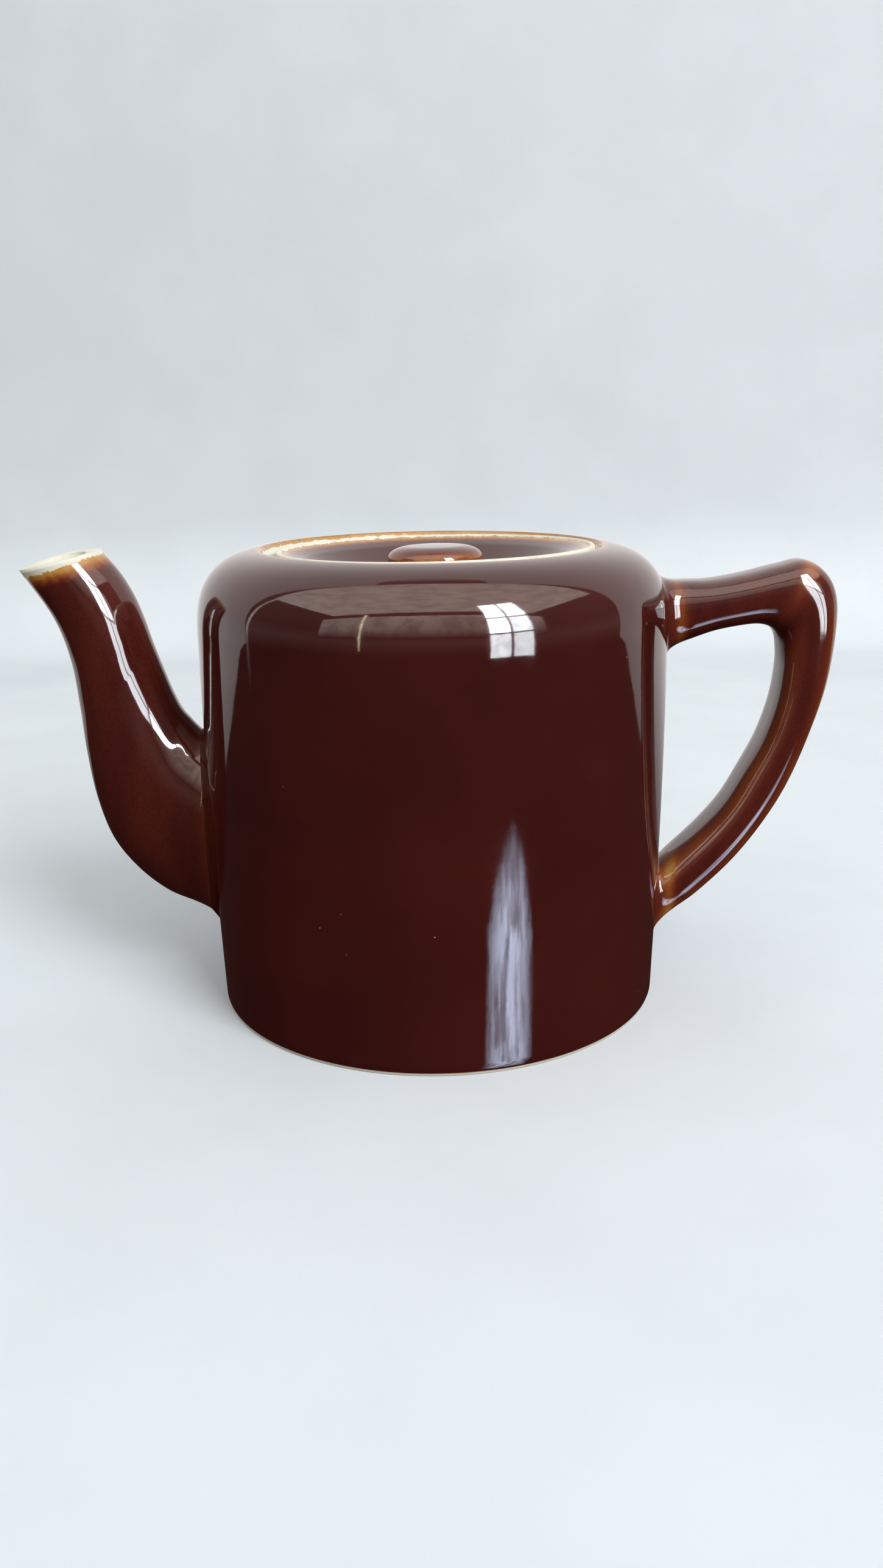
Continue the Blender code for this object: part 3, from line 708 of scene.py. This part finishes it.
def infuser_wall(finish):
    """A tube of perforated sheet with a plain band at its top and bottom."""
    rows = round((PERFORATED_TOP_Z - PERFORATED_BASE_Z) / PERFORATION_ROW_PITCH)
    pitch_v = (PERFORATED_TOP_Z - PERFORATED_BASE_Z) / rows
    pitch_u = math.tau * BASKET_R / PERFORATION_COLUMNS
    outline = cell_outline(pitch_u, pitch_v)
    bm = bmesh.new()
    found = {}

    def vertex(u, z, radius):
        angle = u / BASKET_R
        key = (round(u * 64 / pitch_u) % (64 * PERFORATION_COLUMNS), round(z, 3), radius)
        if key not in found:
            found[key] = bm.verts.new((radius * math.cos(angle), radius * math.sin(angle), z))
        return found[key]

    def face(corners):
        if len(set(corners)) == len(corners):
            bm.faces.new(corners)

    radii = (BASKET_R, BASKET_R - SHEET)
    for row in range(rows):
        z = PERFORATED_BASE_Z + (row + 0.5) * pitch_v
        for column in range(PERFORATION_COLUMNS):
            u = (column + 0.5 * (row % 2)) * pitch_u
            hole = {}
            for radius in radii:
                hole[radius] = []
                for du, dv in outline:
                    turn = math.atan2(dv, du)
                    angle = (u + PERFORATION_R * math.cos(turn)) / BASKET_R
                    x, y = radius * math.cos(angle), radius * math.sin(angle)
                    hole[radius].append(bm.verts.new((x, y, z + PERFORATION_R * math.sin(turn))))
                for i in range(len(outline)):
                    j = (i + 1) % len(outline)
                    outer_i = vertex(u + outline[i][0], z + outline[i][1], radius)
                    outer_j = vertex(u + outline[j][0], z + outline[j][1], radius)
                    face([outer_i, outer_j, hole[radius][j], hole[radius][i]])
            for i in range(len(outline)):
                j = (i + 1) % len(outline)
                face([hole[radii[0]][i], hole[radii[0]][j], hole[radii[1]][j], hole[radii[1]][i]])
    quarter = pitch_u / 4
    bands = ((PERFORATED_TOP_Z, BASKET_TOP_Z), (BASKET_BASE_Z, PERFORATED_BASE_Z))
    for low, high in bands:
        heights = np.linspace(low, high, 5)
        for a, b in zip(heights, heights[1:]):
            for k in range(4 * PERFORATION_COLUMNS):
                for radius in radii:
                    face([vertex(k * quarter, a, radius), vertex((k + 1) * quarter, a, radius),
                          vertex((k + 1) * quarter, b, radius), vertex(k * quarter, b, radius)])
    for z in (BASKET_TOP_Z, BASKET_BASE_Z):
        for k in range(4 * PERFORATION_COLUMNS):
            face([vertex(k * quarter, z, radii[0]), vertex((k + 1) * quarter, z, radii[0]),
                  vertex((k + 1) * quarter, z, radii[1]), vertex(k * quarter, z, radii[1])])
    bm.verts.index_update()
    points = [tuple(v.co) for v in bm.verts]
    faces = [[v.index for v in f.verts] for f in bm.faces]
    bm.free()
    made = piece("infuser_wall_shell", points, faces, finish, "infuser", ["infuser_wall"])
    made.data.set_sharp_from_angle(angle=math.radians(40))
    return made


def infuser_floor(finish):
    """A perforated disc whose edge turns up inside the wall."""
    out = BASKET_R - SHEET - GAP
    flat_r = out - SHEET - FLOOR_BEND
    steps = FLOOR_SIDES
    turns = [math.tau * i / steps for i in range(steps)]
    points = [Vector((flat_r * math.cos(turn), flat_r * math.sin(turn))) for turn in turns]
    loops = [list(range(steps))]
    reach = int(flat_r / FLOOR_PERFORATION_PITCH) + 1
    for row in range(-reach, reach + 1):
        for column in range(-reach, reach + 1):
            centre = Vector((column + 0.5 * (row % 2), row * math.sqrt(0.75))) * FLOOR_PERFORATION_PITCH
            if centre.length > flat_r - FLOOR_PLAIN_EDGE:
                continue
            first = len(points)
            for i in range(HOLE_SIDES):
                angle = math.tau * i / HOLE_SIDES
                points.append(centre + Vector((math.cos(angle), math.sin(angle))) * PERFORATION_R)
            loops.append(list(range(first, first + HOLE_SIDES)))
    edges = [(loop[i], loop[(i + 1) % len(loop)]) for loop in loops for i in range(len(loop))]
    flat, _, triangles, *_ = delaunay_2d_cdt(points, edges, [], 2, 1e-6)
    low = BASKET_BASE_Z
    count = len(flat)
    solid = [(p.x, p.y, low) for p in flat] + [(p.x, p.y, low + SHEET) for p in flat]
    faces = [list(reversed(t)) for t in triangles] + [[i + count for i in t] for t in triangles]
    for loop in loops[1:]:
        for i in range(len(loop)):
            j = (i + 1) % len(loop)
            faces.append([loop[i], loop[j], loop[j] + count, loop[i] + count])
    turned_edge = rounded([(flat_r, low, 0), (out, low, 1.4), (out, low + UPTURN, 0.2),
                           (out - SHEET, low + UPTURN, 0.2), (out - SHEET, low + SHEET, 0.7),
                           (flat_r, low + SHEET, 0)], 6)
    starts = [0]
    for radius, height in turned_edge[1:-1]:
        starts.append(len(solid))
        solid += [tuple(p) for p in circle(radius, height, steps)]
    starts.append(count)
    for a, b in zip(starts, starts[1:]):
        for i in range(steps):
            j = (i + 1) % steps
            faces.append([a + i, a + j, b + j, b + i])
    made = piece("infuser_floor_shell", solid, faces, finish, "infuser", ["infuser_floor"])
    made.data.set_sharp_from_angle(angle=math.radians(40))
    return made


def infuser_loop(node, side, finish):
    """A bent wire finger loop just inside the basket's wall."""
    outer = BASKET_R - SHEET - GAP - LOOP_WIRE_R
    count = LOOP_STATIONS
    route = []
    for i in range(count):
        angle = math.pi * i / (count - 1)
        across = LOOP_HALF_WIDTH * math.cos(angle)
        hang = math.sin(angle)
        at_wall = math.sqrt(outer ** 2 - across ** 2)
        height = LOOP_TOP_Z - LOOP_DROP * (1 - hang) * 0.5
        route.append(Vector((side * (at_wall - LOOP_REACH * hang), across, height)))
    skin = Skin()
    for i, point in enumerate(route):
        ahead = route[min(i + 1, count - 1)] - route[max(i - 1, 0)]
        turn = ahead.to_track_quat("Z", "Y").to_matrix()
        ends = min(i, count - 1 - i)
        radius = LOOP_WIRE_R * LOOP_ENDS[min(ends, 2)]
        if i == 0:
            skin.add([point])
        ring = [point + turn @ Vector((math.cos(a), math.sin(a), 0.0)) * radius
                for a in (math.tau * k / LOOP_SIDES for k in range(LOOP_SIDES))]
        skin.add(ring)
        if i == count - 1:
            skin.add([point])
    points, faces = skin.mesh(loop=False)
    return piece(f"{node}_wire", points, faces, finish, "infuser", [node])


# ---------------- materials

class Nodes:
    """Short calls that build the nodes of one material or world, their owner."""

    def __init__(self, owner):
        owner.use_nodes = True
        self.owner = owner
        self.tree = owner.node_tree
        self.tree.nodes.clear()
        self.coordinates = self.add("ShaderNodeTexCoord").outputs["Object"]

    def add(self, kind, inputs=(), **settings):
        node = self.tree.nodes.new(kind)
        for name, value in settings.items():
            setattr(node, name, value)
        for socket, value in dict(inputs).items():
            self.feed(node.inputs[socket], value)
        return node

    def feed(self, socket, value):
        if isinstance(value, bpy.types.NodeSocket):
            self.tree.links.new(value, socket)
        else:
            socket.default_value = value

    def maths(self, operation, a, b=0.0, clamp=False):
        return self.add("ShaderNodeMath", {0: a, 1: b}, operation=operation, use_clamp=clamp).outputs[0]

    def attribute(self, name):
        return self.add("ShaderNodeAttribute", attribute_name=name).outputs["Fac"]

    def mix(self, factor, a, b):
        a, b = [(*colour, 1.0) if isinstance(colour, tuple) else colour for colour in (a, b)]
        return self.add("ShaderNodeMix", {0: factor, 6: a, 7: b}, data_type="RGBA").outputs[2]

    def smooth(self, value, low, high, to_low=0.0, to_high=1.0):
        inputs = {"Value": value, "From Min": low, "From Max": high, "To Min": to_low, "To Max": to_high}
        return self.add("ShaderNodeMapRange", inputs, interpolation_type="SMOOTHSTEP").outputs[0]

    def sway(self, value, span):
        """A value from 0 to 1 turned into one from -span / 2 to span / 2."""
        return self.maths("MULTIPLY", self.maths("SUBTRACT", value, 0.5), span)

    def noise(self, length, detail=2.0, stretch=(1.0, 1.0, 1.0), roughness=0.5, distortion=0.0):
        """Noise from 0 to 1 whose features are about this many millimetres long."""
        scaled = self.add("ShaderNodeMapping", {"Vector": self.coordinates, "Scale": stretch}).outputs[0]
        inputs = {"Vector": scaled, "Scale": 1.0 / (length * MM), "Detail": detail, "Roughness": roughness,
                  "Distortion": distortion}
        return self.add("ShaderNodeTexNoise", inputs).outputs["Fac"]

    def ramp(self, factor, stops):
        node = self.add("ShaderNodeValToRGB", {"Fac": factor})
        elements = node.color_ramp.elements
        elements[0].position, elements[0].color = stops[0][0], (*stops[0][1], 1.0)
        elements[1].position, elements[1].color = stops[-1][0], (*stops[-1][1], 1.0)
        for position, colour in stops[1:-1]:
            elements.new(position).color = (*colour, 1.0)
        return node.outputs["Color"]

    def finish(self, **inputs):
        shader = self.add("ShaderNodeBsdfPrincipled")
        for name, value in inputs.items():
            self.feed(shader.inputs[name.replace("_", " ")], value)
        self.add("ShaderNodeOutputMaterial", {"Surface": shader.outputs[0]})
        return self.owner

    def bump(self, height):
        """Bumps of a height in millimetres."""
        return self.add("ShaderNodeBump", {"Height": height, "Distance": MM, "Strength": 1.0}).outputs[0]


def pinholes(nodes):
    """Sparse tiny specks where a bubble broke the glaze: 1 in a speck, else 0."""
    inputs = {"Vector": nodes.coordinates, "Scale": 1.0 / (7.0 * MM), "Randomness": 1.0}
    cells = nodes.add("ShaderNodeTexVoronoi", inputs, feature="F1")
    chance = nodes.add("ShaderNodeSeparateColor", {"Color": cells.outputs["Color"]})
    chosen = nodes.maths("GREATER_THAN", chance.outputs["Red"], 0.72)
    size = nodes.maths("MULTIPLY", chance.outputs["Green"], 0.035)
    inside = nodes.maths("LESS_THAN", cells.outputs["Distance"], size)
    return nodes.maths("MULTIPLY", chosen, inside)


def glaze(name):
    """Glossy red-brown glaze over cream clay, breaking to amber where it runs thin."""
    nodes = Nodes(bpy.data.materials.new(name))
    coarse = nodes.noise(2.6, 3.0)
    fine = nodes.noise(0.7, 2.0)

    # where the brown glaze stops, along a ragged line
    ragged = nodes.maths("ADD", nodes.sway(coarse, 1.5), nodes.sway(fine, 0.7))
    edge = nodes.maths("ADD", nodes.attribute("edge"), ragged)
    glazed = nodes.smooth(edge, -0.12, 0.22)

    # amber along that line, and where the glaze runs thin
    runs = nodes.noise(9.0, 3.0, stretch=(1.0, 1.0, 0.22))
    speck = nodes.noise(0.5, 1.0)
    thin = nodes.maths("ADD", nodes.attribute("thin"), nodes.sway(runs, 0.32))
    thin = nodes.maths("ADD", thin, nodes.sway(speck, 0.16))
    amber = nodes.maths("MAXIMUM", nodes.smooth(edge, 4.4, 0.0), thin, clamp=True)
    amber = nodes.maths("ADD", amber, nodes.sway(fine, 0.10), clamp=True)

    # the brown, in slow patches, with pinholes
    patches = nodes.noise(34.0, 3.0)
    body = nodes.mix(nodes.smooth(patches, 0.25, 0.75, 0.35, 1.0), GLAZE_DEEP, GLAZE_BODY)
    stops = [(0.12, GLAZE_BODY), (0.42, GLAZE_RED), (0.74, GLAZE_AMBER), (0.97, GLAZE_HONEY)]
    brown = nodes.mix(nodes.smooth(amber, 0.04, 0.26), body, nodes.ramp(amber, stops))
    holes = pinholes(nodes)
    brown = nodes.mix(nodes.maths("MULTIPLY", holes, 0.55), brown, PINHOLE)

    # the clay, bare or under a clear glaze
    stain = nodes.noise(5.0, 4.0)
    clay = nodes.mix(nodes.smooth(stain, 0.48, 0.78, 0.0, 0.7), CLAY, CLAY_DARK)
    colour = nodes.mix(glazed, clay, brown)
    shine = nodes.maths("MAXIMUM", glazed, nodes.attribute("inner"))
    gloss = nodes.smooth(nodes.noise(14.0, 2.0), 0.3, 0.7, 0.035, 0.075)
    grit = nodes.smooth(nodes.noise(0.4, 2.0), 0.2, 0.8, 0.55, 0.8)
    roughness = nodes.add("ShaderNodeMix", {0: shine, 2: grit, 3: gloss}).outputs[0]

    # relief in millimetres: ripples and swells, the glaze's own thickness, the clay's grain
    ripple = nodes.maths("MULTIPLY", nodes.noise(1.7, 1.0), 0.0035)
    swell = nodes.maths("MULTIPLY", nodes.noise(11.0, 1.0), 0.03)
    skin = nodes.maths("MULTIPLY", glazed, 0.16)
    rough = nodes.maths("MULTIPLY", nodes.noise(0.35, 3.0), nodes.maths("SUBTRACT", 1.0, shine))
    grain = nodes.maths("MULTIPLY", rough, 0.05)
    height = nodes.maths("ADD", nodes.maths("ADD", ripple, swell), nodes.maths("ADD", skin, grain))
    height = nodes.maths("SUBTRACT", height, nodes.maths("MULTIPLY", holes, 0.03))
    return nodes.finish(Base_Color=colour, Roughness=roughness, IOR=1.58, Normal=nodes.bump(height))


def steel(name, grain_stretch):
    """Satin stainless steel with its grain along one direction and a few stains of use."""
    nodes = Nodes(bpy.data.materials.new(name))
    grain = nodes.noise(0.22, 3.0, stretch=grain_stretch)
    cloud = nodes.noise(16.0, 3.0)
    tint = nodes.mix(nodes.smooth(cloud, 0.42, 0.72), STEEL, STEEL_STAIN)
    colour = nodes.mix(nodes.smooth(grain, 0.3, 0.7, 0.0, 0.25), tint, STEEL_BRIGHT)
    roughness = nodes.smooth(grain, 0.25, 0.75, 0.25, 0.34)
    bump = nodes.bump(nodes.maths("MULTIPLY", grain, 0.0007))
    return nodes.finish(Base_Color=colour, Metallic=1.0, Roughness=roughness, Normal=bump)


def plain(name, colour, roughness):
    nodes = Nodes(bpy.data.materials.new(name))
    cloud = nodes.noise(60.0, 4.0)
    tone = nodes.mix(nodes.smooth(cloud, 0.3, 0.7), colour, tuple(0.96 * c for c in colour))
    return nodes.finish(Base_Color=tone, Roughness=roughness)


# ---------------- studio

def sweep(name, profile):
    """A pale sheet that follows (y, z) points, wide enough to fill the view."""
    points = [(side * BACKDROP_HALF_WIDTH, y, z) for y, z in profile for side in (-1, 1)]
    faces = [(2 * i, 2 * i + 1, 2 * i + 3, 2 * i + 2) for i in range(len(profile) - 1)]
    mesh = bpy.data.meshes.new(name)
    mesh.from_pydata([Vector(p) * MM for p in points], [], faces)
    mesh.shade_smooth()
    mesh.materials.append(plain(name, PAPER, 0.7))
    made = linked(name, mesh)
    return made


def backdrop():
    """A pale floor and a wall behind it, with a bend between. The floor throws no light back on the pot."""
    foot = BACKDROP_BACK - BACKDROP_BEND
    floor = sweep("floor", [(BACKDROP_FRONT, 0.0), (foot, 0.0)])
    floor.visible_glossy = False
    floor.visible_diffuse = False
    turns = np.radians(np.linspace(0, 90, 17))
    bend = [(foot + BACKDROP_BEND * math.sin(a), BACKDROP_BEND - BACKDROP_BEND * math.cos(a)) for a in turns]
    sweep("wall", bend + [(BACKDROP_BACK, BACKDROP_HEIGHT)])


def towards(azimuth, elevation):
    """A direction from the pot. Azimuth 0 is on the camera's side, and turns towards the handle."""
    a, e = math.radians(azimuth), math.radians(elevation)
    return Vector((math.sin(a) * math.cos(e), -math.cos(a) * math.cos(e), math.sin(e)))


def key_light():
    """A large area light, aimed at the pot from the window's side."""
    data = bpy.data.lights.new("key", "AREA")
    data.shape = "RECTANGLE"
    data.size, data.size_y = (side * MM for side in KEY_SIZE)
    data.energy = KEY_POWER
    data.color = DAYLIGHT
    made = linked("key", data)
    out = towards(WINDOW_AZIMUTH, KEY_ELEVATION)
    made.location = (POT_MIDDLE + out * KEY_DISTANCE) * MM
    made.rotation_euler = out.to_track_quat("Z", "Y").to_euler()
    made.visible_glossy = False


def glowing(name, grid, glows, grain, strength, colour, mottle):
    """A glowing sheet that only the glaze sees, from a grid of points in millimetres with a glow at each."""
    width = len(grid[0])
    faces = [(r * width + i, r * width + i + 1, (r + 1) * width + i + 1, (r + 1) * width + i)
             for r in range(len(grid) - 1) for i in range(width - 1)]
    mesh = bpy.data.meshes.new(name)
    mesh.from_pydata([point * MM for row in grid for point in row], [], faces)
    mesh.attributes.new("glow", "FLOAT", "POINT").data.foreach_set("value", glows)
    nodes = Nodes(bpy.data.materials.new(name))
    level = nodes.maths("MULTIPLY", nodes.attribute("glow"), strength)
    blotches = nodes.noise(grain, 4.0, stretch=(1.0, 1.0, 0.5), roughness=0.7)
    level = nodes.maths("MULTIPLY", level, nodes.smooth(blotches, 0.35, 0.6, 1.0 - mottle, 1.0))
    light = nodes.add("ShaderNodeEmission", {"Color": (*colour, 1.0), "Strength": level})
    nodes.add("ShaderNodeOutputMaterial", {"Surface": light.outputs[0]})
    nodes.owner.cycles.emission_sampling = "NONE"
    mesh.materials.append(nodes.owner)
    made = linked(name, mesh)
    made.visible_camera = False
    made.visible_diffuse = False
    made.visible_shadow = False
    return made


def card(name, rows, distance, strength, colour, soft=False, mottle=0.0):
    """A curved card round the pot, from rows of (elevation, azimuth, half width, glow)."""
    across = np.linspace(-1.0, 1.0, 15)
    grid, glows = [], []
    for elevation, azimuth, half, glow in rows:
        grid.append([POT_MIDDLE + towards(azimuth + u * half, elevation) * distance for u in across])
        glows += [glow * (1.0 - u * u if soft else 1.0) for u in across]
    return glowing(name, grid, glows, 0.06 * distance, strength, colour, mottle)


def panel(name, rows, half_width, strength, colour, mottle):
    """A level-edged panel across the room, from rows of (y, z, glow)."""
    grid = [[Vector((side * half_width, y, z)) for side in (-1, 1)] for y, z, _ in rows]
    glows = [glow for _, _, glow in rows for _ in (-1, 1)]
    return glowing(name, grid, glows, 260.0, strength, colour, mottle)


def surroundings():
    """Even pale light all round, which the glaze mirrors as a dim room with a lighter ceiling."""
    nodes = Nodes(bpy.data.worlds.new("world"))
    heading = nodes.add("ShaderNodeTexCoord").outputs["Generated"]
    rise = nodes.add("ShaderNodeSeparateXYZ", {0: heading}).outputs["Z"]
    height = nodes.add("ShaderNodeMapRange", {"Value": rise, "From Min": -1.0}).outputs[0]
    mirrored = nodes.ramp(height, MIRRORED)
    lit = nodes.mix(nodes.smooth(rise, -0.25, 0.15), BELOW, SKY)
    ray = nodes.add("ShaderNodeLightPath").outputs
    seen = nodes.mix(ray["Is Camera Ray"], lit, HORIZON)
    shown = nodes.mix(ray["Is Glossy Ray"], seen, mirrored)
    background = nodes.add("ShaderNodeBackground", {"Color": shown})
    nodes.add("ShaderNodeOutputWorld", {"Surface": background.outputs[0]})
    nodes.owner.cycles.sampling_method = "NONE"
    bpy.context.scene.world = nodes.owner


def camera():
    data = bpy.data.cameras.new("camera")
    data.sensor_width = SENSOR
    data.lens = CAMERA_LENS
    data.clip_start = 0.01
    data.clip_end = 50.0
    made = linked("camera", data)
    aim = Euler((math.pi / 2 - CAMERA_PITCH, 0.0, -CAMERA_YAW)).to_matrix()
    turn = aim @ Matrix.Rotation(CAMERA_ROLL, 3, "Z")
    made.matrix_world = Matrix.Translation(Vector(CAMERA_PLACE) * MM) @ turn.to_4x4()
    bpy.context.scene.camera = made


def window():
    """Six glowing panes, which the glaze mirrors in place of the key light."""
    half = WINDOW_HALF_WIDTH / 2
    for row, (low, high) in enumerate(WINDOW_ROWS):
        for column, side in enumerate((-1, 1)):
            pane = (WINDOW_AZIMUTH + side * half, half - WINDOW_BARS, WINDOW_PANES[row][column])
            rows = [(low + WINDOW_BARS, *pane), (high - WINDOW_BARS, *pane)]
            card(f"pane_{row}_{column}", rows, PANE_DISTANCE, WINDOW_GLOW, DAYLIGHT, mottle=0.3)


def reflections():
    """What the glaze mirrors besides the window: its glare from below, the room, two strips, a wall."""
    card("glare", [(-18.0, WINDOW_AZIMUTH, 1.5, 0.0), (-20.0, WINDOW_AZIMUTH, 5.0, 0.4),
                   (-22.5, WINDOW_AZIMUTH - 0.5, 9.0, 0.9), (-25.5, WINDOW_AZIMUTH - 0.5, 12.0, 1.0),
                   (-32.0, WINDOW_AZIMUTH - 0.5, 13.0, 0.9), (-46.0, WINDOW_AZIMUTH, 13.0, 0.5)],
         1200.0, 13.5, (0.66, 0.76, 1.0), soft=True, mottle=0.75)
    panel("room_front", [(-1700.0, 300.0, 0.0), (-1700.0, 620.0, 0.5), (-1700.0, 1300.0, 0.85)],
          2300.0, 3.4, ROOM, 0.4)
    panel("ceiling", [(-1640.0, 1500.0, 1.0), (-420.0, 1500.0, 1.0), (150.0, 1500.0, 0.8)],
          2000.0, 3.0, ROOM, 0.25)
    card("strip_left", [(-2.0, -33.0, 0.4, 0.3), (12.0, -33.0, 0.5, 1.0), (34.0, -33.0, 0.5, 0.9)],
         1100.0, 16.0, (1.0, 0.88, 0.62), mottle=0.6)
    card("strip_far_left", [(-10.0, -94.0, 0.7, 0.0), (5.0, -94.0, 0.9, 1.0), (45.0, -90.0, 0.9, 0.8),
                            (62.0, -60.0, 0.9, 0.6)],
         1100.0, 2.6, (0.95, 0.92, 0.95), mottle=0.4)
    card("wall_behind", [(76.0, 180.0, 88.0, 1.0), (-2.0, 180.0, 88.0, 1.0), (-7.0, 180.0, 80.0, 0.85),
                         (-11.0, 180.0, 71.0, 0.6), (-16.0, 180.0, 58.0, 0.35), (-22.0, 180.0, 42.0, 0.12),
                         (-28.0, 180.0, 20.0, 0.0)],
         520.0, 1.35, (0.78, 0.75, 0.735))


def studio():
    backdrop()
    key_light()
    window()
    reflections()
    surroundings()
    bpy.context.scene.view_settings.view_transform = "Standard"
    camera()


def build():
    brown = glaze("brown_glaze")
    pot_body(brown)
    spout(brown)
    handle(brown)
    lid_glaze = glaze("lid_glaze")
    lid_dish(lid_glaze)
    lid_knob(lid_glaze)
    sheet = steel("stainless_sheet", (1.0, 1.0, 0.02))
    wire = steel("stainless_wire", (0.2, 0.2, 0.2))
    turned = steel("stainless_rim", (0.05, 0.05, 1.0))
    infuser_rim(turned)
    infuser_wall(sheet)
    infuser_floor(wire)
    infuser_loop("infuser_loop_left", -1, wire)
    infuser_loop("infuser_loop_right", 1, wire)


build()
studio()
